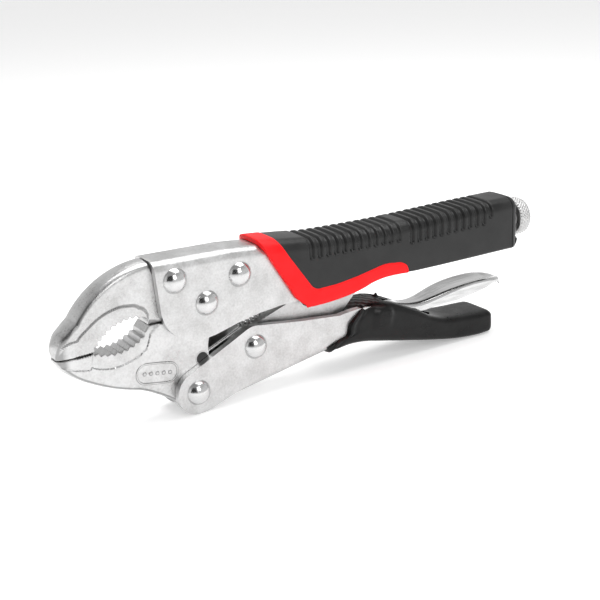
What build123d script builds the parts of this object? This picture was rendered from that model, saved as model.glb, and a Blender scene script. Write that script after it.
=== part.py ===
from build123d import *
import math
import os

# Locking pliers with curved jaws, standing on the lower handle with the jaws to -X.
# Frame: +X from the jaw tips to the adjusting knob, +Z up, +Y through the thickness.
# The origin is the middle of the footprint, on the surface the pliers stand on. All sizes are mm.

# ---- driving dimensions -------------------------------------------------------------------
SHEET = 3.0              # wall of both folded handles
CHANNEL_HALF = 9.0       # half of each handle's outer width
INNER_HALF = CHANNEL_HALF - SHEET
JAW_HALF = 5.8           # half of the forged jaws' thickness
MOUTH_HALF = 4.9         # half thickness of the milled faces beside the mouth
LINK_HALF = 4.0
GRIP_HALF = 10.8
RIVET_R = 3.4            # shank of every large rivet
HUB_R = 9.4              # the lower jaw's round hub
FIT = 0.06               # radial running clearance
HEAD_R = 5.25
HEAD_HIGH = 3.4

JAW_PIVOT = (-55.5, 46.3)
FIXED_RIVETS = ((-68.9, 58.2), (-39.9, 55.1))
HANDLE_PIVOT = (-61.7, 9.3)
LINK_PIVOT = (-34.2, 22.7)
LEVER_PIVOT = (30.0, 22.0)
SCREW_Z = 50.5
LINK_NOSE = (29.5, SCREW_Z)
NOSE_R = 4.2
TIP_GAP = 2.5            # the screw tip stands this far off the link's nose

KNOB_R = 8.8
KNOB_FROM, KNOB_TO = 110.8, 118.7
TEETH = 9
SPRING_HOLE = (-58.2, 22.5)
SPRING_PIN = (14.0, 53.6)
WIRE_R = 0.7


# ---- small shared shapes ------------------------------------------------------------------
def at(point, y=0.0):
    """A point of the side view, at thickness y."""
    return Vector(point[0], y, point[1])


def side_face(start, *steps):
    """A closed face in the side view. A step is a point, or a pair (through, end) for an arc."""
    edges = []
    here = start
    for step in steps + (start,):
        if isinstance(step[0], tuple):
            edges.append(ThreePointArc(at(here), at(step[0]), at(step[1])))
            here = step[1]
        elif math.dist(here, step) > 1e-6:
            edges.append(Line(at(here), at(step)))
            here = step
    return make_face(Wire(edges))


def slab(face, half):
    """The side-view face carried half to each side of the middle plane."""
    return extrude(face, amount=half, dir=(0, 1, 0), both=True)


def rod(point, radius, y0, y1):
    """A round bar across the thickness."""
    middle = at(point, (y0 + y1) / 2)
    return Location(middle, (90, 0, 0)) * Cylinder(radius, y1 - y0)


def rod_x(radius, x0, x1, z=SCREW_Z):
    """A round bar along the screw's axis."""
    return Location(((x0 + x1) / 2, 0, z), (0, 90, 0)) * Cylinder(radius, x1 - x0)


def box(x0, x1, y0, y1, z0, z1):
    return Location(((x0 + x1) / 2, (y0 + y1) / 2, (z0 + z1) / 2)) * Box(x1 - x0, y1 - y0, z1 - z0)


def polar(centre, radius, degrees):
    """The point at an angle from +X towards +Z."""
    a = math.radians(degrees)
    return (centre[0] + radius * math.cos(a), centre[1] + radius * math.sin(a))


def long_edges(solid, low, high, half):
    """Edges on the outer sides, whose middle is inside the side-view box low..high."""
    picked = []
    for edge in solid.edges():
        m = edge @ 0.5
        if abs(abs(m.Y) - half) < 0.01 and low[0] < m.X < high[0] and low[1] < m.Z < high[1]:
            if abs((edge @ 0).Y - (edge @ 1).Y) < 0.01:
                picked.append(edge)
    return picked


def rivet(point, seat, head_r=HEAD_R, head_high=HEAD_HIGH, shank=RIVET_R):
    """A shank across the tool with a domed head standing on each outer face."""
    body = rod(point, shank, -seat - 0.5, seat + 0.5)
    dome_r = (head_r ** 2 + head_high ** 2) / (2 * head_high)
    for side in (-1, 1):
        ball = Location(at(point, side * (seat + head_high - dome_r))) * Sphere(dome_r)
        low, high = sorted((side * seat, side * (seat + head_high + 1)))
        body += ball & rod(point, head_r, low, high)
    return body


def save(shape, name):
    os.makedirs("parts", exist_ok=True)
    shape.label = name
    export_step(shape, f"parts/{name}.step")


# ---- upper half ---------------------------------------------------------------------------
def upper_side():
    """Outline of the upper handle: round nose below the jaws, flat back, straight rear."""
    return side_face(
        (-77.6, 66.9), (-76.0, 47.8), ((-71.2, 36.6), (-58.8, 31.4)), (-52.4, 32.2),
        (-41.8, 34.9), (-32.2, 36.8), (-21.0, 37.9), (20.0, 37.9), (27.0, 40.8),
        (104.0, 40.8), (104.0, 60.8), (34.0, 60.6), (9.0, 61.2), (-24.0, 64.2), (-43.0, 66.0),
    )


def upper_inner():
    """The channel's hollow: the outline less one sheet along the back, open below."""
    return side_face(
        (-90.0, 20.0), (110.0, 20.0), (110.0, 57.8), (34.0, 57.6), (9.0, 58.2),
        (-24.0, 61.2), (-43.0, 63.0), (-90.0, 63.9),
    )


def upper_handle():
    shell = slab(upper_side(), CHANNEL_HALF)
    back = long_edges(shell, (-78, 58), (104.5, 70), CHANNEL_HALF)
    shell = fillet(back, 4.2)
    shell -= slab(upper_inner(), INNER_HALF)
    for point in FIXED_RIVETS + (JAW_PIVOT,):
        shell -= rod(point, RIVET_R, -20, 20)
    shell -= rod(SPRING_PIN, 1.5, -20, 20)
    return shell


def jaw_back():
    """The upper jaw's outline in front of the handle, from the mouth round the nose and back."""
    return (
        ((-119.2, 37.2), (-117.9, 41.9)), ((-114.6, 45.2), (-110.1, 48.9)),
        ((-97.5, 60.8), (-80.0, 66.4)),
    )


def nose_plan():
    """Seen from above, both jaw tips are rounded across their thickness."""
    plan = make_face(Wire([
        Line((-70, -6), (-112, -6)), ThreePointArc((-112, -6), (-118.7, 0), (-112, 6)),
        Line((-112, 6), (-30, 6)), Line((-30, 6), (-30, -6)), Line((-30, -6), (-70, -6)),
    ]))
    return extrude(plan, amount=80)


def tooth_row(centre, radius, start, stop, depth, count):
    """Crests and roots of a toothed arc: count teeth between two angles."""
    points = []
    step = (stop - start) / count
    for i in range(count):
        points.append(polar(centre, radius, start + i * step))
        points.append(polar(centre, radius + depth, start + (i + 0.5) * step))
    points.append(polar(centre, radius, stop))
    return points


def upper_jaw():
    """Forged jaw with a tang between the handle's cheeks, hollowed round the lower jaw's hub."""
    mouth = tooth_row((-86.0, 25.8), 19.3, 150.0, 82.0, 1.1, TEETH)
    hub = [polar(JAW_PIVOT, HUB_R + 0.4, a) for a in (15, 110, 209)]
    face = side_face(
        (-118.0, 34.7), *jaw_back(), (-78.2, 66.4), (-78.2, 63.2), (-44.0, 62.3), (-33.0, 61.4),
        (-33.0, 49.0), hub[0], (hub[1], hub[2]), (-79.6, 41.35), *mouth[::-1], (-104.4, 35.4),
    )
    jaw = slab(face, JAW_HALF)
    jaw = fillet(long_edges(jaw, (-121, 47.5), (-79.2, 68), JAW_HALF), 2.5)
    jaw &= nose_plan()
    for side in (-1, 1):
        low, high = sorted((side * MOUTH_HALF, side * 8))
        jaw -= rod((-92.5, 29.0), 23.0, low, high) & box(-117.5, -79.5, low, high, 20, 60)
    for point in FIXED_RIVETS:
        jaw -= rod(point, RIVET_R, -20, 20)
    return jaw


def threaded_bush():
    """Block between the cheeks at the rear, with a round collar behind it and the screw's hole."""
    bush = box(90.0, 104.0, -INNER_HALF, INNER_HALF, 43.6, 57.0)
    bush += rod_x(6.3, 104.0, 110.0)
    return bush - rod_x(4.0 + FIT, 80.0, 120.0)


def adjusting_screw():
    """8 mm screw with a turned-down groove for its stop ring and a rounded tip."""
    tip = LINK_NOSE[0] + NOSE_R + TIP_GAP
    screw = rod_x(4.0, tip, 116.5)
    screw = chamfer(screw.edges().group_by(Axis.X)[0], 1.2)
    return screw - (rod_x(5.0, 44.0, 46.0) - rod_x(3.2, 43.0, 47.0))


def screw_ring():
    """Loose stop ring in the screw's groove. It stops the screw at the bush."""
    return rod_x(5.4, 44.2, 45.8) - rod_x(3.2 + FIT, 43.0, 47.0)


def screw_knob():
    """Knob pressed on the screw's end."""
    knob = rod_x(KNOB_R, KNOB_FROM, KNOB_TO)
    ends = knob.edges().group_by(Axis.X)
    knob = chamfer(ends[0] + ends[-1], 0.7)
    return knob - rod_x(4.0, KNOB_FROM - 1, 116.5)


def spring_pin():
    """Cross pin through the cheeks, under the grip, for the spring's rear hook."""
    return rod(SPRING_PIN, 1.5, -CHANNEL_HALF, CHANNEL_HALF)


def grip_shell():
    """Both grip pieces together: a skin round the handle, closed over its rear end."""
    face = side_face(
        (-33.6, 66.8), (5.0, 62.8), (100.0, 62.6), ((105.0, 60.6), (107.2, 56.0)), (107.6, 44.0),
        ((105.2, 40.2), (101.6, 38.9)), (26.5, 39.4), (19.0, 36.9), (8.0, 35.1), (-8.0, 34.6),
        (-12.6, 38.0), (-21.5, 48.5),
    )
    shell = slab(face, GRIP_HALF)
    shell = fillet(long_edges(shell, (-34, 30), (109, 70), GRIP_HALF), 4.0)
    shell -= slab(upper_side(), CHANNEL_HALF)
    shell -= box(-60, 104.0, -INNER_HALF, INNER_HALF, 30, 59)
    return shell - rod_x(6.4, 100, 120)


def trim_region():
    """Side view of the red trim: a band down the front edge and back along the lower edge."""
    return side_face(
        (-45.0, 80.0), (-45.0, 25.0), (44.5, 25.0), (44.5, 38.2), ((40.5, 44.6), (29.5, 45.4)),
        (6.0, 41.8), (-2.5, 41.8), ((-6.5, 42.4), (-10.0, 46.5)), (-25.5, 70.5), (-25.5, 80.0),
    )


def grip_trim():
    return grip_shell() & slab(trim_region(), 20)


def grip():
    return grip_shell() - slab(trim_region(), 20)


# ---- lower half ---------------------------------------------------------------------------
def lower_jaw():
    """Forged jaw with a hub on the jaw pivot and an arm down to the lower handle's pivot."""
    mouth = tooth_row((-95.0, 53.0), 19.4, 246.0, 313.0, 1.1, TEETH)
    hub = [polar(JAW_PIVOT, HUB_R, a) for a in (214, 90, -45)]
    foot = [polar(HANDLE_PIVOT, 8.3, a) for a in (20, -60, -150)]
    face = side_face(
        (-118.4, 34.4), (-104.2, 35.1), *mouth, (-79.8, 41.05), hub[0],
        (hub[1], hub[2]), (-50.0, 36.0), ((-54.6, 29.0), (-54.6, 22.0)), (-54.4, 15.0), foot[0],
        (foot[1], foot[2]), ((-75.0, 9.6), (-86.0, 15.2)), ((-103.4, 21.1), (-115.8, 29.9)),
    )
    jaw = slab(face, JAW_HALF)
    jaw = fillet(long_edges(jaw, (-119, 9), (-71, 34), JAW_HALF), 1.8)
    jaw &= nose_plan()
    for side in (-1, 1):
        low, high = sorted((side * MOUTH_HALF, side * 8))
        jaw -= rod((-92.5, 46.0), 18.0, low, high) & box(-118.8, -79.5, low, high, 20, 41.5)
    jaw -= rod(JAW_PIVOT, RIVET_R + FIT, -20, 20)
    jaw -= rod(HANDLE_PIVOT, RIVET_R, -20, 20)
    jaw -= box(-58.2, -50.0, -1.3, 1.3, 19.0, 25.2)
    return jaw - rod(SPRING_HOLE, 2.7, -20, 20)


def jaw_pivot():
    return rivet(JAW_PIVOT, CHANNEL_HALF)


def jaw_rivets():
    """The two fixed rivets of the upper jaw."""
    return Compound(children=[rivet(point, CHANNEL_HALF) for point in FIXED_RIVETS])


def handle_pivot():
    """Fast in the jaw. The handle's cheeks turn on it."""
    return rivet(HANDLE_PIVOT, CHANNEL_HALF + 0.05)


def lower_side():
    """Outline of the lower handle: a lobe on each pivot, a straight back, a bend and a long tail."""
    a = [polar(HANDLE_PIVOT, 9.3, d) for d in (118, 190, 270)]
    b = [polar(LINK_PIVOT, 9.1, d) for d in (114, 92, 75)]
    return side_face(
        a[0], (a[1], a[2]), (-57.5, 0.5), (-53.0, 2.0), (2.0, 12.0), ((12.0, 13.6), (22.0, 12.6)),
        (60.0, 5.0), ((76.0, 2.2), (91.0, 1.8)), (91.0, 8.4), (72.0, 10.2), ((60.0, 12.2), (47.0, 19.6)),
        ((33.0, 25.6), (8.0, 26.8)), (-12.0, 28.8), b[2], (b[1], b[0]),
    )


def lower_hollow():
    """The channel's hollow, above the folded bottom. Nothing is folded under the front pivot."""
    return side_face(
        (-90.0, -10.0), (-54.0, -10.0), (-54.0, 4.9), (2.0, 15.0), ((12.0, 16.6), (22.0, 15.6)),
        (60.0, 8.0), ((76.0, 5.2), (100.0, 4.8)), (100.0, 40.0), (-90.0, 40.0),
    )


def lower_handle():
    shell = slab(lower_side(), CHANNEL_HALF)
    front = long_edges(shell, (-53.5, 1), (45, 14.5), CHANNEL_HALF)
    rear = long_edges(shell, (45, 1), (88, 6.5), CHANNEL_HALF)
    shell = fillet(front + rear, 3.0)
    shell -= slab(lower_hollow(), INNER_HALF)
    for point in (HANDLE_PIVOT, LINK_PIVOT):
        shell -= rod(point, RIVET_R + FIT, -20, 20)
    return shell - rod(LEVER_PIVOT, RIVET_R, -20, 20)


def toggle_link():
    """Forged link from the lower handle to the screw's tip, with a knee under it for the lever."""
    b = [polar(LINK_PIVOT, 6.5, d) for d in (109, 200, 290)]
    n = [polar(LINK_NOSE, NOSE_R, d) for d in (-50, 20, 112)]
    face = side_face(
        b[0], (b[1], b[2]), (4.0, 19.4), ((10.2, 21.0), (12.6, 26.8)), (19.6, 33.6), n[0],
        (n[1], n[2]), (-8.0, 38.4),
    )
    link = slab(face, LINK_HALF)
    return link - rod(LINK_PIVOT, RIVET_R, -20, 20)


def link_washers():
    """Spacers that keep the link in the middle of the lower handle."""
    rings = []
    for side in (-1, 1):
        low, high = sorted((side * (LINK_HALF + 0.1), side * (INNER_HALF - 0.05)))
        rings.append(rod(LINK_PIVOT, 6.0, low, high) - rod(LINK_PIVOT, RIVET_R, -20, 20))
    return Compound(children=rings)


def link_pivot():
    """Fast in the link. The handle's cheeks turn on it."""
    return rivet(LINK_PIVOT, CHANNEL_HALF + 0.05)


def lever_pivot():
    return rivet(LEVER_PIVOT, CHANNEL_HALF, 4.2, 1.2, RIVET_R)


def release_lever():
    """Pressed lever: a block on its pivot, a short arm under the link's knee, a spoon-shaped tail."""
    side = side_face(
        (14.0, 19.0), (16.6, 18.2), ((30.0, 16.4), (44.0, 17.4)), (62.0, 17.0), (97.0, 21.0),
        ((101.6, 21.2), (103.4, 20.4)), (103.6, 22.2), ((99.0, 24.6), (91.0, 25.2)), (62.0, 22.0),
        (50.0, 21.8), ((40.0, 25.2), (30.0, 26.6)), ((21.0, 26.2), (15.4, 22.6)),
    )
    body = slab(side, 6.2)
    plan = Polyline(
        (13, -4.4), (50, -4.4), (64, -6.0), (93, -6.2), (100, -5.0), (103.7, -2.0),
        (103.7, 2.0), (100, 5.0), (93, 6.2), (64, 6.0), (50, 4.4), (13, 4.4), close=True,
    )
    body &= extrude(make_face(plan), amount=60)
    under = side_face(
        (46.0, 10.0), (110.0, 10.0), (110.0, 20.0), (100.0, 23.0), (91.0, 23.4), (62.0, 20.2), (46.0, 19.9),
    )
    body -= slab(under, 4.4) & box(46, 98, -2.8, 2.8, 0, 40)
    return body - rod(LEVER_PIVOT, RIVET_R + FIT, -20, 20)


def sleeve_side():
    """Outline of the dipped sleeve, with a small guard horn below its front."""
    return side_face(
        (19.0, 27.8), (14.5, 23.5), (8.5, 17.5), (1.0, 13.4), ((2.6, 10.9), (7.0, 11.2)), (12.0, 11.9),
        ((20.0, 11.4), (30.0, 9.5)), (60.0, 3.2), ((76.0, 0.6), (88.0, 0.15)),
        ((93.6, 2.6), (95.4, 8.0)), (91.0, 9.9), (73.0, 12.0), ((61.5, 14.0), (48.0, 21.4)),
        ((34.0, 27.3), (24.0, 28.2)),
    )


def handle_sleeve():
    sleeve = slab(sleeve_side(), GRIP_HALF)
    sleeve = fillet(long_edges(sleeve, (15, 3), (60, 12), GRIP_HALF), 3.0)
    sleeve -= slab(lower_side(), CHANNEL_HALF)
    sleeve -= slab(lower_hollow(), INNER_HALF) & box(-10, 91.0, -10, 10, 0, 8.0)
    sleeve -= rod(LEVER_PIVOT, 4.25, -CHANNEL_HALF - 1.25, CHANNEL_HALF + 1.25)
    return sleeve - box(-10, 62.0, -INNER_HALF, INNER_HALF, 10, 40)


def wire(start, end):
    """A straight piece of spring wire in the middle plane."""
    run = Line(at(start), at(end))
    return sweep(Plane(origin=run @ 0, z_dir=run % 0) * Circle(WIRE_R), path=run)


def return_spring():
    """Extension spring: a straight lead into the lower jaw, close coils, an eye on the pin."""
    first = (-36.0, 32.6)
    rise = math.degrees(math.atan2(SPRING_PIN[1] - first[1], SPRING_PIN[0] - first[0]))
    pitch, turns, coil_r = 1.9, 20.5, 2.5
    lean = (coil_r * math.sin(math.radians(rise)), coil_r * math.cos(math.radians(rise)))
    helix = Helix(pitch, turns * pitch, coil_r)
    coil = sweep(Plane(origin=helix @ 0, z_dir=helix % 0) * Circle(WIRE_R), path=helix)
    body = Location((first[0], 0, first[1]), (0, 90 - rise, 0)) * coil
    last = (first[0] + turns * pitch * math.cos(math.radians(rise)),
            first[1] + turns * pitch * math.sin(math.radians(rise)))
    front = (first[0] + lean[0], first[1] - lean[1])
    rear = (last[0] - lean[0], last[1] + lean[1])
    body += wire((-57.6, 20.8), front)
    body += rod((-57.9, 20.8), WIRE_R, -4.0, 4.0)
    body += wire(rear, (SPRING_PIN[0] - 1.7, SPRING_PIN[1] + 1.5))
    return body + Location(at(SPRING_PIN), (90, 0, 0)) * Torus(2.3, WIRE_R)


if __name__ == "__main__":
    for make in (
        upper_handle, upper_jaw, jaw_rivets, threaded_bush, adjusting_screw, screw_ring, screw_knob,
        spring_pin, grip, grip_trim, lower_jaw, jaw_pivot, lower_handle, handle_pivot, toggle_link,
        link_washers, link_pivot, release_lever, lever_pivot, handle_sleeve, return_spring,
    ):
        save(make(), make.__name__)
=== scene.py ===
import math

import bpy
import numpy as np
from mathutils import Matrix, Vector


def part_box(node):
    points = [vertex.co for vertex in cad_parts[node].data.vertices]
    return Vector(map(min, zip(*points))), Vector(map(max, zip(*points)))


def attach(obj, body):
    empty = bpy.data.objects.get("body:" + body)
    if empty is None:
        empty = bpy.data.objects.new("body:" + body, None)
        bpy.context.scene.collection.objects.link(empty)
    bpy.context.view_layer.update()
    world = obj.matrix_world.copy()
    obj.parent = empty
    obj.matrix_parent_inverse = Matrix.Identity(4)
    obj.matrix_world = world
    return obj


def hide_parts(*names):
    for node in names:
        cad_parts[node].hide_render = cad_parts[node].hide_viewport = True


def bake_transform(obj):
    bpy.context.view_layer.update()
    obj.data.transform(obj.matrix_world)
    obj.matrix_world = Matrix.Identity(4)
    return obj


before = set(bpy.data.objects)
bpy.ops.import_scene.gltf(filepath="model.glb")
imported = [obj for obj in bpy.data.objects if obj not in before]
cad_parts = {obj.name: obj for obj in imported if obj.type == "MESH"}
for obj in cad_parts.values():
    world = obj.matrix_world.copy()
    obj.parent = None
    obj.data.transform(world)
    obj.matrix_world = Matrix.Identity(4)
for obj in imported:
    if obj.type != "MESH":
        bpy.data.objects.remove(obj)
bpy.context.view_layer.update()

# ---- studio ----------------------------------------------------------------------------------
# A white paper floor under a sky that is light at the horizon and greyer overhead. One soft box
# hangs above and one in front, and a dark card at the left gives the bright steel its accents.
world = bpy.data.worlds.new("studio")
bpy.context.scene.world = world
world.use_nodes = True
sky = world.node_tree
way_in = sky.nodes.new("ShaderNodeTexCoord")
height = sky.nodes.new("ShaderNodeSeparateXYZ")
fade = sky.nodes.new("ShaderNodeMapRange")
for socket, value in zip((1, 2, 3, 4), (0.40, 0.85, 0.76, 0.36)):
    fade.inputs[socket].default_value = value
sky.links.new(way_in.outputs["Generated"], height.inputs[0])
sky.links.new(height.outputs["Z"], fade.inputs[0])
sky.links.new(fade.outputs[0], sky.nodes["Background"].inputs["Strength"])
sky.nodes["Background"].inputs["Color"].default_value = (1.0, 1.0, 1.0, 1)
bpy.context.scene.view_settings.view_transform = "Standard"
mesh = bpy.data.meshes.new("sweep")
mesh.from_pydata([(-6, -6, 0), (6, -6, 0), (6, 6, 0), (-6, 6, 0)], [], [(0, 1, 2, 3)])
sweep = bpy.data.objects.new("sweep", mesh)
bpy.context.collection.objects.link(sweep)
white = bpy.data.materials.new("sweep_white")
white.use_nodes = True
paper = white.node_tree.nodes["Principled BSDF"]
paper.inputs["Base Color"].default_value = (0.9, 0.9, 0.9, 1)
paper.inputs["Roughness"].default_value = 0.6
paper.inputs["Emission Color"].default_value = (1.0, 1.0, 1.0, 1)
paper.inputs["Emission Strength"].default_value = 0.34
mesh.materials.append(white)
mesh = bpy.data.meshes.new("dark_card")
card_corners = [(-2.2, -0.7, 0.20), (-0.62, -1.5, 0.20), (-0.62, -1.5, 1.9), (-2.2, -0.7, 1.9)]
mesh.from_pydata(card_corners, [], [(0, 1, 2, 3)])
card = bpy.data.objects.new("dark_card", mesh)
bpy.context.collection.objects.link(card)
black = bpy.data.materials.new("card_black")
black.use_nodes = True
black.node_tree.nodes["Principled BSDF"].inputs["Base Color"].default_value = (0.01, 0.01, 0.01, 1)
mesh.materials.append(black)


def soft_box(name, place, aim, size, watts):
    """A rectangular lamp at place, turned to face aim. Lengths are metres."""
    light = bpy.data.lights.new(name, "AREA")
    light.shape = "RECTANGLE"
    light.size, light.size_y = size
    light.energy = watts
    lamp = bpy.data.objects.new(name, light)
    bpy.context.collection.objects.link(lamp)
    lamp.location = place
    lamp.rotation_euler = (Vector(aim) - Vector(place)).to_track_quat("-Z", "Y").to_euler()


soft_box("box_top", (0.15, 0.1, 0.8), (0, 0, 0.03), (0.9, 0.6), 5.6)
soft_box("box_front", (-0.1, -1.0, 0.75), (-0.05, 0, 0.04), (0.4, 0.6), 4.0)

eye = bpy.data.cameras.new("camera")
camera = bpy.data.objects.new("camera", eye)
bpy.context.collection.objects.link(camera)
bpy.context.scene.camera = camera
eye.sensor_width = 36.0
eye.lens = 75.0
eye.clip_start = 0.01
look_right = (0.84011256, -0.54126802, -0.03521115)
look_up = (0.20404923, 0.25522678, 0.94510486)
look_back = (-0.50256821, -0.80117927, 0.32486454)
eye_place = (-0.273674, -0.426153, 0.207348)
turn = Matrix((look_right, look_up, look_back)).transposed().to_4x4()
camera.matrix_world = Matrix.Translation(eye_place) @ turn


# ---- upper handle and spring pin -------------------------------------------------------------
# A channel folded from 3 mm steel sheet, open below, blasted and nickel plated. Both jaw rivets,
# the jaw pivot and the spring's pin go through its cheeks. The pin is a plain ground rod.
class Level:
    """A number that varies over a surface. Arithmetic on it adds one Math node for each step."""

    def __init__(self, paint, socket):
        self.paint = paint
        self.socket = socket

    def step(self, operation, first, second):
        return self.paint.node("ShaderNodeMath", {"operation": operation}, {0: first, 1: second})

    def __add__(self, other):
        return self.step("ADD", self, other)

    def __sub__(self, other):
        return self.step("SUBTRACT", self, other)

    def __rsub__(self, other):
        return self.step("SUBTRACT", other, self)

    def __mul__(self, other):
        return self.step("MULTIPLY", self, other)

    def __pow__(self, other):
        return self.step("POWER", self, other)

    __radd__ = __add__
    __rmul__ = __mul__


class Paint:
    """One material: a Principled shader, with plain values set here and patterns added by nodes."""

    def __init__(self, name, **plain):
        self.material = bpy.data.materials.new(name)
        self.material.use_nodes = True
        self.nodes = self.material.node_tree.nodes
        self.links = self.material.node_tree.links
        self.shader = self.nodes["Principled BSDF"]
        for socket, value in plain.items():
            self.shader.inputs[socket.replace("_", " ")].default_value = value

    def node(self, kind, settings, sockets, out=0):
        """Adds a node: its settings first, then the values or links of its sockets."""
        made = self.nodes.new(kind)
        for key, value in settings.items():
            if key == "stops":
                ramp = made.color_ramp
                for place, colour in value[1:-1]:
                    ramp.elements.new(place).color = colour
                for element, (place, colour) in zip(ramp.elements, value):
                    element.position, element.color = place, colour
            else:
                setattr(made, key, value)
        for key, value in sockets.items():
            if isinstance(value, Level):
                self.links.new(value.socket, made.inputs[key])
            else:
                made.inputs[key].default_value = value
        return Level(self, made.outputs[out])

    def place(self, stretch=(1.0, 1.0, 1.0), turn=(0.0, 0.0, 0.0)):
        """Object coordinates, stretched and turned."""
        here = self.node("ShaderNodeTexCoord", {}, {}, "Object")
        return self.node("ShaderNodeMapping", {}, {0: here, "Rotation": turn, "Scale": stretch})

    def grain(self, size, detail=2.0, rough=0.5, **how):
        """Soft noise from 0 to 1 whose blobs are about size metres across."""
        settings = {"noise_dimensions": "3D"}
        sockets = {"Vector": self.place(**how), "Scale": 1 / size, "Detail": detail, "Roughness": rough}
        return self.node("ShaderNodeTexNoise", settings, sockets)

    def clip(self, level, low, high, to_low=0.0, to_high=1.0):
        """The level's range low..high moved to to_low..to_high, and clipped there."""
        sockets = {0: level, 1: low, 2: high, 3: to_low, 4: to_high}
        return self.node("ShaderNodeMapRange", {"clamp": True}, sockets)

    def mix(self, share, first, second):
        """A colour between two colours."""
        settings = {"data_type": "RGBA"}
        return self.node("ShaderNodeMix", settings, {0: share, 6: first, 7: second}, 2)

    def feed(self, socket, level):
        self.links.new(level.socket, self.shader.inputs[socket])

    def relief(self, height, depth, under=None):
        """Bump from a height that varies by 1, standing for depth metres."""
        sockets = {"Height": height, "Distance": depth, "Strength": 1.0}
        if under is not None:
            sockets["Normal"] = under
        bump = self.node("ShaderNodeBump", {}, sockets)
        self.feed("Normal", bump)
        return bump


def grey(value, warm=0.0):
    return (value * (1 + warm), value, value * (1 - warm), 1.0)


def blasted_steel(name, tone=0.60, sheen=0.34, pit=0.00006, stain=0.11):
    """Nickel plate over blasted steel: fine pits, soft cloudy stains, a few rubbed spots."""
    paint = Paint(name, Metallic=1.0)
    cloud = paint.grain(0.009, 3.0, 0.6)
    speck = paint.grain(0.0009, 2.0, 0.7)
    pits = paint.grain(0.00042, 1.0, 0.5)
    shade = paint.clip(cloud * 0.6 + speck * 0.4, 0.36, 0.62)
    paint.tone = paint.mix(shade, grey(tone * (1 - 2 * stain), 0.006), grey(tone * (1 + stain)))
    paint.feed("Base Color", paint.tone)
    paint.feed("Roughness", paint.clip(speck * 0.5 + cloud * 0.5, 0.35, 0.65, sheen - 0.05, sheen + 0.08))
    paint.relief(pits * 0.7 + speck * 0.5, pit)
    return paint


def polished_steel(name, tone=0.66, sheen=0.13):
    """Bright nickel: nearly a mirror, with hairline scratches and a slightly wavy ground."""
    paint = Paint(name, Metallic=1.0)
    hair = paint.grain(0.0012, 3.0, 0.7, stretch=(1.0, 0.15, 1.0))
    wave = paint.grain(0.004, 1.0)
    paint.feed("Base Color", paint.mix(paint.clip(hair, 0.4, 0.7), grey(tone), grey(tone * 0.93)))
    paint.feed("Roughness", paint.clip(hair, 0.35, 0.7, sheen, sheen + 0.12))
    paint.relief(hair * 0.15 + wave * 0.6, 0.00003)
    return paint


def show(node, paint):
    """A CAD node that is shown as it is gets its finish here."""
    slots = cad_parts[node].material_slots
    for slot in slots:
        slot.material = paint.material


show("upper_handle", blasted_steel("handle_steel"))
show("spring_pin", polished_steel("pin_steel", 0.7, 0.25))

# ---- upper jaw and its rivets ----------------------------------------------------------------
# A drop forging with a rounded back. Its mouth is milled thinner on both sides, which leaves a
# sloping step round it, and broached with teeth. The tang between the cheeks is held by rivets.
JAW_HALF = 5.8
JAW_PIVOT = (-55.5, 46.3)
HUB_R = 9.4
TEETH = 9
TOOTH_DEEP = 1.1


def arc(first, through, last, count=48):
    """Points of the circle through three points of the side view, from the first to the last."""
    a, b, c = (complex(*p) for p in (first, through, last))
    w = (c - a) / (b - a)
    centre = a + (b - a) * (w - abs(w) ** 2) / (2j * w.imag)
    to_b = np.angle((b - centre) / (a - centre)) % math.tau
    to_c = np.angle((c - centre) / (a - centre)) % math.tau
    if to_b > to_c:
        to_c -= math.tau
    ring = centre + (a - centre) * np.exp(1j * np.linspace(0, to_c, count))
    return np.stack([ring.real, ring.imag], 1)


def side_line(start, *steps):
    """A line in the side view: a step is a point, or a pair (through, end) for an arc."""
    runs = [np.array([start], float)]
    for step in steps:
        here = runs[-1][-1]
        if isinstance(step[0], tuple):
            runs.append(arc(here, step[0], step[1])[1:])
        else:
            runs.append(np.array([step], float))
    return np.concatenate(runs)


def spaced(line, count):
    """That many points, evenly spaced along a line."""
    gaps = np.linalg.norm(np.diff(line, axis=0), axis=1)
    length = np.concatenate([[0], np.cumsum(gaps)])
    wanted = np.linspace(0, length[-1], count)
    return np.stack([np.interp(wanted, length, line[:, k]) for k in range(line.shape[1])], 1)


def polar(centre, radius, degrees):
    """The point at an angle from +X towards +Z in the side view."""
    a = math.radians(degrees)
    return (centre[0] + radius * math.cos(a), centre[1] + radius * math.sin(a))


def soft_step(x):
    """0 below 0, 1 above 1, and a smooth rise between."""
    x = np.clip(x, 0, 1)
    return x * x * (3 - 2 * x)


def flow(x, *knots):
    """A smooth curve through (x, value) knots: cubic between neighbours, level outside."""
    kx, kv = np.array(knots, float).T
    slope = np.gradient(kv, kx)
    x = np.clip(x, kx[0], kx[-1])
    i = np.clip(np.searchsorted(kx, x, side="right") - 1, 0, len(kx) - 2)
    h = kx[i + 1] - kx[i]
    t = (x - kx[i]) / h
    a = (1 + 2 * t) * (1 - t) ** 2 * kv[i] + t * (1 - t) ** 2 * h * slope[i]
    return a + t * t * (3 - 2 * t) * kv[i + 1] + t * t * (t - 1) * h * slope[i + 1]


def tube(rings, ends=True):
    """Joins an array of rings, each a closed loop of points, and closes each end with a fan."""
    n, m, _ = rings.shape
    index = np.arange(n * m).reshape(n, m)
    across = np.roll(index, -1, 1)
    quads = np.stack([index[:-1], across[:-1], across[1:], index[1:]], -1).reshape(-1, 4)
    points = rings.reshape(-1, 3)
    faces = [quads]
    if ends:
        middles = rings[[0, -1]].mean(1)
        points = np.concatenate([points, middles])
        first = np.stack([across[0], index[0], np.full(m, n * m)], 1)
        last = np.stack([index[-1], across[-1], np.full(m, n * m + 1)], 1)
        faces += [first, last]
    else:
        faces.append(np.stack([index[-1], across[-1], across[0], index[0]], 1))
    return outwards(points, faces)


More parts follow.
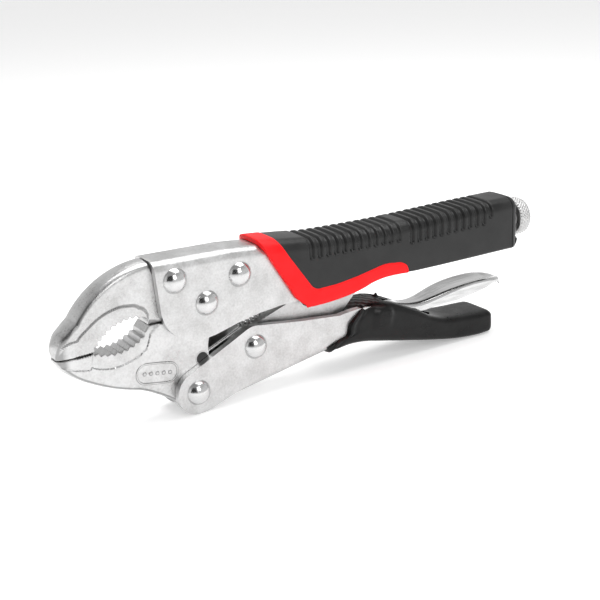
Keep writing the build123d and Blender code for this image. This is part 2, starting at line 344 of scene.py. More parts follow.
def outwards(points, faces):
    """Turns every face round if the closed shell's volume comes out negative."""
    volume = 0.0
    for f in faces:
        for k in range(1, f.shape[1] - 1):
            a, b, c = points[f[:, 0]], points[f[:, k]], points[f[:, k + 1]]
            volume += np.einsum("ij,ij->", a, np.cross(b, c))
    if volume < 0:
        faces = [f[:, ::-1] for f in faces]
    return points, faces


def piece(name, shells, paint, body, slot, *nodes, sharp=32.0):
    """A finished piece from shells in millimetres. It stands for the CAD nodes that are named."""
    points, faces, start = [], [], 0
    for shell_points, shell_faces in shells:
        points.append(shell_points)
        faces += [(f + start).tolist() for f in shell_faces]
        start += len(shell_points)
    mesh = bpy.data.meshes.new(name)
    mesh.from_pydata((np.concatenate(points) / 1000).tolist(), [], [q for f in faces for q in f])
    mesh.shade_smooth()
    mesh.set_sharp_from_angle(angle=math.radians(sharp))
    mesh.materials.append(paint.material)
    made = bpy.data.objects.new(name, mesh)
    bpy.context.collection.objects.link(made)
    if body:
        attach(made, body)
    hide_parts(*nodes)
    return made


def toothed(centre, radius, start, stop, count, deep=TOOTH_DEEP):
    """A toothed arc: the radius grows and shrinks by one tooth's depth, TEETH times, in straight flanks."""
    share = np.linspace(0, 1, count)
    angle = np.radians(start + (stop - start) * share)
    rise = 1 - np.abs(1 - 2 * ((share * TEETH) % 1.0))
    reach = radius + deep * rise
    return np.stack([centre[0] + reach * np.cos(angle), centre[1] + reach * np.sin(angle)], 1)


def fine_teeth(line, height):
    """Small file cuts across the flat at the tip: a triangle wave in the line's height."""
    wave = np.abs(((line[:, 0] / 1.05) % 1.0) * 2 - 1)
    keep = soft_step((line[:, 0] + 111.6) / 1.5) * soft_step((-104.2 - line[:, 0]) / 0.5)
    return line + np.stack([0 * wave, height * wave * keep], 1)


def nose(x):
    """Share of the full thickness at x: one, then a quarter ellipse to the tip, seen from above."""
    return np.sqrt(np.clip(1 - (np.clip(-111.0 - x, 0, 8.15) / 8.25) ** 2, 0.02, 1))


def forging(mouth, back, milled, step_wide, step_deep, round_back, cut=0.0, rows=40):
    """A jaw as rings from tip to tang. Each ring goes from the mouth line to the back line on the
    near side, across the back, and home on the far side. The half thickness is the jaw's, thinned
    at the nose, less a smooth step where the distance from the mouth is under milled. cut is how
    deep the mouth line is cut by teeth at each ring, so that the step itself runs smooth."""
    run = back - mouth
    length = np.linalg.norm(run, axis=1)[:, None] + 1e-6
    radius = np.minimum(round_back, 0.42 * length)
    bend = np.linspace(0, math.pi / 2, 9)[None, :]
    lip = np.minimum(0.35, 0.2 * length)
    flat = np.linspace(0, 1, rows)[None, :] ** 0.9
    reach = np.concatenate([lip * (1 - np.cos(bend[:, ::4])), lip + (length - radius - lip) * flat[:, 1:],
                            length - radius + radius * np.sin(bend[:, 1:])], 1)
    full = nose(mouth[:, :1] + run[:, :1] * reach / length)
    half = np.full(reach.shape, JAW_HALF) - step_deep * soft_step((milled[:, None] - reach - cut) / step_wide)
    half[:, :3] -= lip * (1 - np.sin(bend[:, ::4]))
    half[:, -8:] -= radius * (1 - np.cos(bend[:, 1:]))
    half = half * full
    side = mouth[:, None, :] + run[:, None, :] * (reach / length)[:, :, None]
    near = np.stack([side[:, :, 0], -half, side[:, :, 1]], -1)
    far = near * (1, -1, 1)
    share = np.linspace(0, 1, 10)[None, 1:-1, None]
    over = near[:, -1:] * (1 - share) + far[:, -1:] * share
    crown = 0.35 * (1 - (2 * share - 1) ** 2) * np.minimum(1, radius / 2)[:, :, None]
    unit = (run / length)[:, None, :]
    over = over + crown * np.stack([unit[:, :, 0], 0 * unit[:, :, 0], unit[:, :, 1]], -1)
    under = far[:, :1] * (1 - share) + near[:, :1] * share
    return np.concatenate([near, over, far[:, ::-1], under], 1)


upper_mouth = np.concatenate([
    fine_teeth(spaced(side_line((-118.0, 34.75), (-104.0, 35.15)), 70), 0.35),
    toothed((-86.0, 25.8), 19.3, 150.0, 82.0, 150)[1:],
    spaced(arc((-83.3, 44.95), (-80.6, 44.3), (-79.7, 41.4)), 14)[1:],
    spaced(side_line((-79.7, 41.4), (-64.1, 41.45)), 16)[1:],
    spaced(arc(polar(JAW_PIVOT, HUB_R + 0.4, 209), polar(JAW_PIVOT, HUB_R + 0.4, 110),
               polar(JAW_PIVOT, HUB_R + 0.4, 15)), 30)[1:],
    spaced(side_line((-46.0, 48.8), (-33.0, 49.0)), 8)[1:],
])
upper_back = np.concatenate([
    spaced(side_line((-118.3, 35.3), ((-119.2, 38.2), (-117.9, 41.9)), ((-116.6, 43.7), (-114.6, 45.2))), 70),
    spaced(side_line((-114.6, 45.2), (-110.1, 48.9), ((-97.5, 60.8), (-80.0, 66.4))), 163)[1:],
    spaced(side_line((-80.0, 66.4), (-78.2, 66.4), (-78.2, 63.2), (-77.2, 63.15)), 16)[1:],
    spaced(side_line((-77.2, 63.15), (-44.0, 62.3)), 30)[1:],
    spaced(side_line((-44.0, 62.3), (-33.0, 61.4)), 8)[1:],
])
step_at = np.arange(len(upper_mouth))
upper_milled = flow(step_at, (0, 2.2), (20, 5.6), (40, 8.8), (69, 10.6), (98, 9.6), (144, 8.7), (190, 7.4),
                    (218, 5.6), (232, 2.6), (246, -1.0), (290, -1.0))
upper_cut = np.zeros((len(upper_mouth), 1))
upper_cut[70:219, 0] = TOOTH_DEEP * (1 - np.abs(1 - 2 * ((np.linspace(0, 1, 150)[1:] * TEETH) % 1.0)))


def jaw_steel(name):
    """Blasted steel with painted shade: faces that lean partway away from the side, as on the milled step and
    the rounded edges, get a darker base colour.
    """
    paint = blasted_steel(name, 0.60, 0.30, 0.00006)
    normal = paint.node("ShaderNodeNewGeometry", {}, {}, "Normal")
    across = paint.node("ShaderNodeSeparateXYZ", {}, {0: normal}, 1)
    lean = across.step("ABSOLUTE", across, 0.0)
    # Painted shade: where a face leans partway from the side, the base colour is mixed up to 0.6 of the way
    # towards dark grey.
    slope = paint.clip(lean, 0.66, 0.78) * paint.clip(lean, 0.93, 0.985, 1.0, 0.0)
    paint.tone = paint.mix(slope * 0.6, paint.tone, grey(0.16))
    paint.feed("Base Color", paint.tone)
    return paint


upper_shell = tube(forging(upper_mouth, upper_back, upper_milled, 2.4, 1.15, 2.6, upper_cut))
piece("upper_jaw_forging", [upper_shell], jaw_steel("upper_jaw_steel"), "upper_half", "jaw_steel",
      "upper_jaw")
show("jaw_rivets", polished_steel("rivet_steel"))

# ---- lower jaw and the front pivots ----------------------------------------------------------
# The moving forging: toothed mouth, a round hub on the jaw pivot and an arm down to the handle's
# pivot. A raised oval with five plain pips stands on each side of it. Forged, blasted, plated.
HANDLE_PIVOT = (-61.7, 9.3)
SPRING_HOLE = (-57.6, 22.4)
foot_start = polar(HANDLE_PIVOT, 8.3, -150)
lower_mouth = np.concatenate([
    fine_teeth(spaced(side_line((-118.3, 34.4), (-104.0, 34.9)), 70), -0.35),
    toothed((-95.0, 53.0), 19.4, 242.0, 313.0, 162)[1:],
    spaced(side_line((-81.6, 38.9), (-79.7, 41.1)), 8)[1:],
    spaced(side_line((-79.7, 41.1), (-63.4, 41.1)), 30)[1:],
    spaced(side_line((-63.4, 41.1), (-57.5, 40.4)), 60)[1:],
    spaced(side_line((-57.5, 40.4), (-49.4, 39.9)), 30)[1:],
    spaced(side_line((-49.4, 39.9), (-50.1, 36.4)), 6)[1:],
])
lower_back = np.concatenate([
    spaced(side_line((-118.4, 33.9), (-115.8, 29.9), ((-111.5, 26.4), (-106.5, 23.3))), 70),
    spaced(side_line((-106.5, 23.3), ((-97.0, 18.7), (-86.0, 15.2)), ((-82.3, 13.7), (-79.0, 11.9))),
           169)[1:],
    spaced(side_line((-79.0, 11.9), ((-73.4, 8.5), foot_start)), 30)[1:],
    spaced(side_line(foot_start, (polar(HANDLE_PIVOT, 8.3, -60), polar(HANDLE_PIVOT, 8.3, 20)),
                     (-54.4, 15.0)), 60)[1:],
    spaced(side_line((-54.4, 15.0), (-54.6, 22.0), ((-54.2, 29.0), (-51.2, 34.7))), 30)[1:],
    spaced(side_line((-51.2, 34.7), (-50.2, 36.2)), 6)[1:],
])
step_at = np.arange(len(lower_mouth))
lower_milled = flow(step_at, (0, 2.0), (30, 4.4), (60, 5.9), (80, 6.4), (110, 6.5), (170, 6.4), (215, 6.6),
                    (231, 6.0), (243, 1.0), (250, -1.0), (400, -1.0))
lower_cut = np.zeros((len(lower_mouth), 1))
lower_cut[70:231, 0] = TOOTH_DEEP * (1 - np.abs(1 - 2 * ((np.linspace(0, 1, 162)[1:] * TEETH) % 1.0)))
lower_shell = tube(forging(lower_mouth, lower_back, lower_milled, 0.5, 0.45, 1.9, lower_cut))


def washer(centre, inner, outer, half, edge=0.35, count=72):
    """A flat ring across the thickness: its rounded rectangular section turned about a side-view point."""
    bend = np.linspace(0, math.pi / 2, 4)
    r = np.concatenate([outer - edge + edge * np.sin(bend), outer - edge + edge * np.cos(bend),
                        inner + edge - edge * np.sin(bend), inner + edge - edge * np.cos(bend)])
    y = np.concatenate([-half + edge - edge * np.cos(bend), half - edge + edge * np.sin(bend),
                        half - edge + edge * np.cos(bend), -half + edge - edge * np.sin(bend)])
    a = np.linspace(0, math.tau, count, endpoint=False)[:, None]
    rings = np.stack([centre[0] + r * np.cos(a), y + 0 * a, centre[1] + r * np.sin(a)], -1)
    return tube(rings, ends=False)


def oval_rim(centre, long, wide, tilt, y, thick, high, count=112):
    """A raised line round a stadium: a low round profile carried along the outline on the face at y."""
    a = np.linspace(0, math.tau, count, endpoint=False)
    reach = (long - wide) / 2
    line = np.stack([wide / 2 * np.cos(a) + reach * np.tanh(6 * np.cos(a)), wide / 2 * np.sin(a)], 1)
    turn = np.array([[math.cos(tilt), math.sin(tilt)], [-math.sin(tilt), math.cos(tilt)]])
    line = line @ turn + centre
    along = np.roll(line, -1, 0) - np.roll(line, 1, 0)
    side = np.stack([along[:, 1], -along[:, 0]], 1) / np.linalg.norm(along, axis=1)[:, None]
    b = np.linspace(0, math.tau, 12, endpoint=False)[None, :]
    flat = line[:, None, :] + side[:, None, :] * (thick / 2 * np.cos(b))[:, :, None]
    rise = y + math.copysign(high, y) * np.sin(b) + 0 * flat[:, :, 0]
    return tube(np.stack([flat[:, :, 0], rise, flat[:, :, 1]], -1), ends=False)


def pip(centre, radius, y, high):
    """A low dome half sunk in the face at y: an ellipsoid's rings from back to front."""
    b = np.linspace(0.02, math.pi - 0.02, 9)[:, None]
    a = np.linspace(0, math.tau, 20, endpoint=False)[None, :]
    rings = np.stack([centre[0] + radius * np.sin(b) * np.cos(a), y + high * np.cos(b) + 0 * a,
                      centre[1] + radius * np.sin(b) * np.sin(a)], -1)
    return tube(rings)


OVAL = np.array([-78.0, 20.9])
OVAL_TILT = math.radians(-9.0)
pip_line = np.linspace(-5.6, 5.6, 5)[:, None] * np.array([[math.cos(OVAL_TILT), math.sin(OVAL_TILT)]]) + OVAL
marks = [oval_rim(OVAL, 18.0, 8.4, OVAL_TILT, side * JAW_HALF, 1.0, 0.32) for side in (-1, 1)]
marks += [pip(spot, 0.95, side * JAW_HALF, 0.35) for side in (-1, 1) for spot in pip_line]
hub = washer(JAW_PIVOT, 3.46, HUB_R, JAW_HALF - 0.03)
# The spring hole is painted shade: within about 2.5 mm of SPRING_HOLE, on both faces, the base colour goes
# near black and the steel is made not metallic.
painted_hole_steel = jaw_steel("lower_jaw_steel")
here = painted_hole_steel.place()
from_hole_x = painted_hole_steel.node("ShaderNodeSeparateXYZ", {}, {0: here}, 0) - SPRING_HOLE[0] / 1000
from_hole_z = painted_hole_steel.node("ShaderNodeSeparateXYZ", {}, {0: here}, 2) - SPRING_HOLE[1] / 1000
from_hole = (from_hole_x * from_hole_x + from_hole_z * from_hole_z) ** 0.5
painted_hole_shade = painted_hole_steel.clip(from_hole, 0.0024, 0.0027, 1.0, 0.0)
painted_hole_steel.feed("Base Color", painted_hole_steel.mix(painted_hole_shade, painted_hole_steel.tone, grey(0.004)))
painted_hole_steel.feed("Metallic", painted_hole_steel.clip(from_hole, 0.0024, 0.0027))
hole_edge = washer(SPRING_HOLE, 2.55, 3.1, JAW_HALF + 0.08, 0.12)
piece("lower_jaw_forging", [lower_shell, hub, hole_edge, *marks], painted_hole_steel, "lower_jaw", "jaw_steel",
      "lower_jaw")
show("jaw_pivot", polished_steel("pivot_steel"))
show("handle_pivot", polished_steel("front_pivot_steel"))

# ---- lower handle ----------------------------------------------------------------------------
# A second folded channel, open above. It turns on the lower jaw's foot and carries the link's
# pivot, the release lever and the dipped sleeve.
show("lower_handle", blasted_steel("lower_handle_steel"))
show("lever_pivot", polished_steel("lever_rivet_steel"))

# ---- toggle link -----------------------------------------------------------------------------
# A forged link that pushes from the lower handle against the screw's tip. Two washers centre it
# between the cheeks, and it turns on a rivet of its own.
show("toggle_link", blasted_steel("link_steel", 0.58, 0.38))
show("link_washers", blasted_steel("washer_steel", 0.55, 0.3, 0.00001))
show("link_pivot", polished_steel("link_rivet_steel"))

# ---- threaded bush, adjusting screw, stop ring and knob --------------------------------------
# The bush is a turned and milled steel block. The screw is rolled and zinc plated, with a ring
# that stops it at the bush, and the knob is knurled, with a rounded end, pressed on the screw.
SCREW_Z = 50.5
PITCH = 1.25
THREAD_R = 3.98
RING_X = 45.0


def turned(x, radius, count=48):
    """A closed body turned about the screw's axis. radius is one number, or a row of count, for each x."""
    a = np.linspace(0, math.tau, count, endpoint=False)[None, :]
    radius = np.broadcast_to(np.asarray(radius).reshape(len(x), -1), (len(x), count))
    rings = np.stack([x[:, None] + 0 * a, radius * np.cos(a), SCREW_Z + radius * np.sin(a)], -1)
    return tube(rings)


def threaded(x, count=40):
    """Radius of a right-hand thread: a trimmed triangle wave of x less the turn, one pitch long. A groove
    with sloping sides lies under the stop ring, the tip tapers and the end in the knob is plain."""
    a = np.linspace(0, 1, count, endpoint=False)[None, :]
    wave = np.abs(((x[:, None] / PITCH - a) % 1.0) * 2 - 1)
    plain = soft_step((x[:, None] - 108.0) / 1.0) + soft_step((38.0 - x[:, None]) / 1.2)
    groove = soft_step(1.4 - np.abs(x[:, None] - RING_X))
    cut = 0.72 * np.clip(wave - 0.12, 0, 0.78) * np.clip(1 - plain, 0, 1)
    point = 1.1 * (1 - soft_step((x[:, None] - 36.2) / 1.6))
    return np.minimum(THREAD_R - cut - point, THREAD_R - 0.75 * groove)


low, high = (corner.x * 1000 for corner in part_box("adjusting_screw"))
screw_x = np.arange(low, high, PITCH / 8)
zinc = blasted_steel("screw_zinc", 0.55, 0.3, 0.00001)
piece("threaded_rod", [turned(screw_x, threaded(screw_x), 40)], zinc, "screw", "screw_steel",
      "adjusting_screw")
show("screw_ring", zinc)
show("threaded_bush", blasted_steel("bush_steel", 0.34, 0.42))

KNOB_R = 8.8
knob_from, knob_to = (corner.x * 1000 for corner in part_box("screw_knob"))
knob_x = np.concatenate([[knob_from], np.linspace(knob_from + 0.02, knob_to - 0.02, 72), [knob_to]])
along = (knob_x - knob_from) / (knob_to - knob_from)
barrel = KNOB_R - 1.1 * np.clip(1 - along / 0.16, 0, 1) ** 2
barrel = barrel - 3.4 * np.clip((along - 0.52) / 0.48, 0, 1) ** 2.6
barrel[0] = barrel[-1] = 0.4
turn_share = np.linspace(0, 1, 260, endpoint=False)[None, :]
ridge = 34 * turn_share
lead = (knob_x[:, None] - knob_from) / 1.6
one = np.abs(((ridge + lead) % 1.0) * 2 - 1)
two = np.abs(((ridge - lead) % 1.0) * 2 - 1)
faded = soft_step(along[:, None] / 0.08) * soft_step((1.0 - along[:, None]) / 0.1)
knurl = 0.62 * np.clip(np.maximum(one, two) - 0.42, 0, 1) * faded
alloy = blasted_steel("knob_alloy", 0.60, 0.36, 0.00002)
piece("knurled_knob", [turned(knob_x, barrel[:, None] - knurl, 260)], alloy, "screw", "knob_metal",
      "screw_knob", sharp=60.0)

# ---- return spring ---------------------------------------------------------------------------
# Hard-drawn wire: a straight lead hooked into the lower jaw, close coils, an eye on the pin
# between the upper handle's cheeks. The real spring stretches as the jaws open; this one is built at rest and
# bound to neither part.
WIRE_R = 0.7
SPRING_PIN = (14.0, 53.6)
COIL_FROM = (-36.6, 31.4)
COIL_R, COIL_PITCH, COIL_TURNS = 2.5, 1.9, 20.5
HOOK_AT, HOOK_R, EYE_R = (-57.2, 0, 21.6), 1.5, 2.3


def wire_tube(path, radius, sides=10):
    """A round wire carried along a path. Each ring stands across the path, turned from a fixed side."""
    way = np.gradient(path, axis=0)
    way /= np.linalg.norm(way, axis=1)[:, None]
    across = np.cross(way, (0.13, 0.94, 0.31))
    across /= np.linalg.norm(across, axis=1)[:, None]
    third = np.cross(way, across)
    a = np.linspace(0, math.tau, sides, endpoint=False)[None, :, None]
    return tube(path[:, None] + radius * (across[:, None] * np.cos(a) + third[:, None] * np.sin(a)))


rise = math.atan2(SPRING_PIN[1] - COIL_FROM[1], SPRING_PIN[0] - COIL_FROM[0])
axis_way = np.array([math.cos(rise), 0, math.sin(rise)])
axis_up = np.array([-math.sin(rise), 0, math.cos(rise)])
turned_by = np.linspace(-math.pi / 2, math.tau * COIL_TURNS - math.pi / 2, 500)[:, None]
coil = (np.array([COIL_FROM[0], 0, COIL_FROM[1]])
        + axis_way * (turned_by + math.pi / 2) / math.tau * COIL_PITCH
        + COIL_R * (axis_up * np.sin(turned_by) + np.array([0, 1, 0]) * np.cos(turned_by)))
bow = np.linspace(0, 1, 40)[:, None]
hook_a = np.linspace(math.pi, 0.15, 26)[:, None]
hook_round = np.concatenate([np.cos(hook_a + 0.6), 0 * hook_a, -np.sin(hook_a + 0.6)], 1)
hook = np.array(HOOK_AT) + HOOK_R * hook_round
lead_wire = hook[-1] * (1 - bow) + coil[0] * bow
eye_a = np.linspace(2.2, 2.2 - math.tau * 0.93, 44)[:, None]
eye_ring = (np.array([SPRING_PIN[0], 0, SPRING_PIN[1]])
            + EYE_R * np.concatenate([np.cos(eye_a), 0.1 * eye_a, np.sin(eye_a)], 1))
spring_path = spaced(np.concatenate([hook, lead_wire[1:], coil[1:], eye_ring]), 820)
drawn = polished_steel("spring_wire", 0.88, 0.2)
spring_wire = wire_tube(spring_path, WIRE_R)
spring = piece("return_spring_wire", [spring_wire], drawn, None, "spring_wire", "return_spring")
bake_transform(spring)

# ---- upper grip ------------------------------------------------------------------------------
# A moulded black rubber skin over the handle's rear, closed round the bush's collar, with two
# groups of twelve round-ended grooves across its top. The red band's rubber is moulded on with it.
GRIP_HALF = 10.8
CORNER, FOOT_R = 5.0, 1.3
GRIP_REAR = 103.6
SKIN_THICK = 1.72
CAP_LONG = 3.9
COLLAR_HOLE_R = 6.5
TOP_HALF = GRIP_HALF - CORNER
FOOT_GAP_HALF = 6.15
RIB_PITCH = 4.06
FRONT_GROOVE_X, REAR_GROOVE_X = -6.3, 45.6
LAST_GROOVE = 11


def grip_top(x):
    return flow(x, (-40, 67.2), (-26, 66.0), (-16, 65.0), (-1, 63.3), (12, 62.7), (35, 62.2), (60, 62.4),
                (85, 62.6), (104, 62.5))


def grip_foot(x):
    return flow(x, (-20, 34.6), (-8, 34.6), (2, 34.75), (10, 35.4), (19, 37.0), (24, 38.6), (28, 39.35),
                (50, 39.1), (80, 38.95), (104, 38.9))


def seams(x):
    """Distances round the section, from the top's middle line, where each stretch of it ends."""
    corner = TOP_HALF + CORNER * math.pi / 2
    side = corner + grip_top(x) - CORNER - grip_foot(x) - FOOT_R
    foot = side + FOOT_R * math.pi / 2
    return [0 * x + TOP_HALF, 0 * x + corner, side, foot, foot + GRIP_HALF - FOOT_R - FOOT_GAP_HALF]


def skin(x, s, lift=0.0):
    """The grip's surface at x and at a distance s round its section: flat top, quarter circle, straight
    side, small quarter circle, flat foot. lift moves the point along the outward normal. s < 0 is -Y."""
    x, s, lift = np.broadcast_arrays(np.asarray(x, float), s, lift)
    top, corner, side, foot, _ = seams(x)
    d, high, low = np.abs(s), grip_top(x), grip_foot(x)
    bend = np.clip((d - top) / CORNER, 0, math.pi / 2)
    curl = np.clip((d - side) / FOOT_R, 0, math.pi / 2)
    down = np.clip(d - corner, 0, side - corner)
    y = np.minimum(d, top) + CORNER * np.sin(bend) - FOOT_R * (1 - np.cos(curl)) - np.maximum(d - foot, 0)
    z = high - CORNER * (1 - np.cos(bend)) - down - FOOT_R * np.sin(curl)
    ny, nz = np.sin(bend) * np.cos(curl), np.cos(bend) - np.sin(curl)
    size = np.hypot(ny, nz)
    crown = 0.35 * (1 - np.clip(d / (top + 3), 0, 1) ** 2)
    y, z = y + lift * ny / size, z + crown + lift * nz / size
    return np.stack([x, np.where(s < 0, -y, y), z], -1)


def round_section(x, z):
    """The distance round the section of the side's point at height z."""
    top, corner = seams(x)[:2]
    below = grip_top(x) - CORNER - z
    return np.where(below > 0, corner + below, top + CORNER * np.arccos(np.clip(-below / CORNER, 0, 1)))


def groove(x, s):
    """Depth share of the cross grooves: round-ended slots across the top, each one pitch from the next."""
    rank_front = np.round((x - FRONT_GROOVE_X) / RIB_PITCH)
    rank_rear = np.round((x - REAR_GROOVE_X) / RIB_PITCH)
    front, rear = np.clip(rank_front, 0, LAST_GROOVE), np.clip(rank_rear, 0, LAST_GROOVE)
    front_x = FRONT_GROOVE_X + front * RIB_PITCH
    rear_x = REAR_GROOVE_X + rear * RIB_PITCH
    near_front = np.abs(x - front_x) < np.abs(x - rear_x)
    centre = np.where(near_front, front_x, rear_x)
    end_z = np.where(near_front, 56.1 - 0.07 * front, 53.2 + 0.10 * rear + 2.6 * (rear == LAST_GROOVE))
    end_s = TOP_HALF + CORNER * math.pi / 2 + grip_top(x) - CORNER - end_z
    past = np.maximum(np.abs(s) - end_s, 0)
    away = np.hypot(x - centre, past)
    return soft_step((1.42 - away) / 0.8)


rows_at = np.concatenate([np.linspace(0, 1, 9)[:-1], np.linspace(1, 2, 15)[:-1], np.linspace(2, 3, 64)[:-1],
                          np.linspace(3, 4, 6)[:-1], np.linspace(4, 5, 5)])
rows_at = np.concatenate([-rows_at[:0:-1], rows_at])[None, :]


def round_at(x, row):
    """The distance round the section for a row number: 0 the top's middle, then one for each stretch."""
    ends = [0, *seams(x)]
    parts = [np.clip(np.abs(row) - k, 0, 1) * (ends[k + 1] - ends[k]) for k in range(5)]
    return np.sign(row) * sum(parts)


front_row = np.abs(rows_at)
share_down = np.clip(front_row - 1, 0, 2.2) / 2.2
front_x = np.interp(share_down, (0, 0.22, 0.5, 0.86, 0.93, 1.0), (-28.8, -27.0, -21.2, -12.6, -9.9, -8.8))
columns = np.concatenate([np.linspace(0, 1, 40)[:-1], 1 + np.arange(0, 103.0, 0.34) / 103.0])
wide = np.clip(columns, 0, 1)[:, None]
rear = np.clip(columns - 1, 0, 1)[:, None]
REBATE_END = -8.6
grip_x = front_x * (1 - wide) + REBATE_END * wide + rear * (GRIP_REAR - REBATE_END)
grip_s = round_at(grip_x, np.broadcast_to(rows_at, grip_x.shape))
worn = 0.10 * np.sin(grip_x / 9.0) * np.sin(grip_s / 7.0)
outer_skin = skin(grip_x, grip_s, -0.95 * groove(grip_x, grip_s) + 0.2 * worn)
inner_rows = rows_at[:, ::-1]
inner_s = round_at(grip_x, np.broadcast_to(inner_rows, grip_x.shape))
inner_skin = skin(grip_x, inner_s, -SKIN_THICK)[:, 4:-4]
grip_rings = np.concatenate([outer_skin, inner_skin], 1)
rubber = Paint("grip_rubber", Roughness=0.4, Specular_IOR_Level=0.36)
fine = rubber.grain(0.00035, 2.0, 0.6)
cloud = rubber.grain(0.012, 2.0, 0.5)
rubber.feed("Base Color", rubber.mix(rubber.clip(cloud, 0.35, 0.65), grey(0.009), grey(0.017)))
rubber.feed("Roughness", rubber.clip(cloud * 0.6 + fine * 0.4, 0.35, 0.65, 0.30, 0.44))
rubber.relief(fine, 0.00003)


def rear_cap(count=14):
    """The moulding's closed end: the section shrinks by a quarter circle as x grows, a flat face runs in
    to the hole for the bush's collar, and the hole's wall runs back. Rings join last to first."""
    rows = np.concatenate([-np.linspace(5, 0, 61)[:-1], np.linspace(0, 5, 61)])
    bend = math.pi / 2 * np.linspace(0, 1, count)[:, None] ** 1.7
    base = np.full((1, len(rows)), GRIP_REAR)
    s = round_at(base, rows[None, :])
    outer = skin(base, s, -CAP_LONG * (1 - np.cos(bend)))
    outer[..., 0] = GRIP_REAR + CAP_LONG * np.sin(bend)
    around = np.arctan2(outer[-1, :, 2] - SCREW_Z, outer[-1, :, 1])
    hole = np.stack([np.full(len(rows), GRIP_REAR + CAP_LONG), COLLAR_HOLE_R * np.cos(around),
                     SCREW_Z + COLLAR_HOLE_R * np.sin(around)], -1)
    share = np.linspace(0, 1, 6)[1:, None, None]
    face = outer[-1] * (1 - share) + hole * share
    back = hole[None] - np.array([CAP_LONG, 0, 0])
    return tube(np.concatenate([outer, face, back]), ends=False)


grip_shells = [tube(grip_rings), rear_cap()]
piece("ribbed_grip", grip_shells, rubber, "upper_half", "grip_black", "grip", sharp=40.0)

# ---- red trim --------------------------------------------------------------------------------
# Red rubber moulded over the black: a band across the top, down the slanted front edge of the grip
# and back along its lower edge, where it narrows to a rounded end.
TRIM_FRONT, TRIM_BACK = -29.8, -21.4


def band_edge(top_x, front, foot, front_count=70, foot_count=120):
    """One edge of the band as (x, distance round the section): across the top, then along two side-view
    lines. A foot line of None follows the moulding's lower lip."""
    over = np.stack([np.full(10, top_x), np.linspace(0, TOP_HALF, 10)], 1)
    front = spaced(front, front_count)
    front = np.stack([front[:, 0], round_section(front[:, 0], front[:, 1])], 1)
    if foot is None:
        x = np.linspace(front[-1, 0], 44.9, foot_count)
        rise = soft_step((x - front[-1, 0]) / 4.0)
        s = front[-1, 1] + (seams(x)[4] - front[-1, 1]) * rise
    else:
        foot = spaced(foot, foot_count)
        x = foot[:, 0]
        tail = soft_step((np.arange(foot_count) - foot_count + 10) / 9)
        s = round_section(x, foot[:, 1]) * (1 - tail) + seams(x)[4] * tail
    return np.concatenate([over, front[1:], np.stack([x, s], 1)[1:]])


outer_line = side_line((-29.8, 66.3), ((-28.4, 63.0), (-25.2, 57.0)), (-14.6, 39.9), (-10.9, 36.4))
outer_edge = band_edge(TRIM_FRONT, outer_line, None)
inner_edge = band_edge(TRIM_BACK, side_line((-21.4, 65.4), ((-20.1, 63.0), (-17.4, 58.6)), (-7.5, 44.6)),
                       side_line((-7.5, 44.6), ((-5.4, 42.6), (-2.0, 42.0)), (6.0, 42.2), (16.6, 43.5),
                                 (26.0, 45.2), ((31.0, 45.9), (36.0, 45.4)), ((42.0, 43.6), (44.9, 39.6))))
edge_a = np.concatenate([outer_edge[::-1] * (1, -1), outer_edge[1:]])[:, None]
edge_b = np.concatenate([inner_edge[::-1] * (1, -1), inner_edge[1:]])[:, None]
across = [[0, 0, 0.01, 0.03, 0.07], np.linspace(0.14, 0.86, 9), [0.93, 0.97, 0.99, 1, 1]]
across = np.concatenate(across)[None, :]
height = np.array([-1.7, -0.3, 0.05, 0.22, 0.30] + [0.34] * 9 + [0.30, 0.22, 0.05, -0.3, -0.6])[None, :]
at_x = edge_a[..., 0] * (1 - across) + edge_b[..., 0] * across
at_s = edge_a[..., 1] * (1 - across) + edge_b[..., 1] * across
over_band = skin(at_x, at_s, height)
red = Paint("trim_rubber", Roughness=0.45, Specular_IOR_Level=0.22)
cloud = red.grain(0.010, 2.0, 0.5)
fine = red.grain(0.00035, 2.0, 0.6)
red.feed("Base Color", red.mix(red.clip(cloud, 0.35, 0.65), (0.94, 0.003, 0.006, 1), (1.0, 0.008, 0.012, 1)))
red.feed("Roughness", red.clip(fine * 0.5 + cloud * 0.5, 0.35, 0.65, 0.38, 0.52))
red.relief(fine, 0.00003)
piece("red_band", [tube(over_band)], red, "upper_half", "trim_red", "grip_trim", sharp=50.0)

# ---- release lever ---------------------------------------------------------------------------
# A lever pressed from sheet steel and plated bright: a channel open below that widens into a
# dished tail, whose end curls down. It turns on the rivet through the lower handle.
LEVER_SHEET = 1.5


def lever_top(x):
    return flow(x, (13.8, 21.6), (18, 24.6), (24, 26.1), (30, 26.5), (37, 25.7), (44, 23.2), (50, 21.9),
                (56, 21.8), (62, 22.9), (70, 24.7), (80, 26.1), (88, 26.3), (95, 25.8), (100, 24.6),
                (102.4, 23.3), (103.6, 21.6))


def lever_half(x):
    return flow(x, (13.8, 4.4), (50, 4.4), (58, 5.6), (66, 6.6), (84, 7.0), (94, 6.7), (99, 5.7), (102, 4.0),
                (103.6, 2.2))


def lever_deep(x):
    return flow(x, (13.8, 3.0), (18, 6.2), (24, 9.0), (30, 9.8), (36, 8.8), (44, 6.0), (50, 4.5), (60, 4.3),
                (67, 5.2), (74, 6.3), (84, 6.0), (92, 4.5), (97, 2.6), (101, 1.9), (103.6, 1.5))


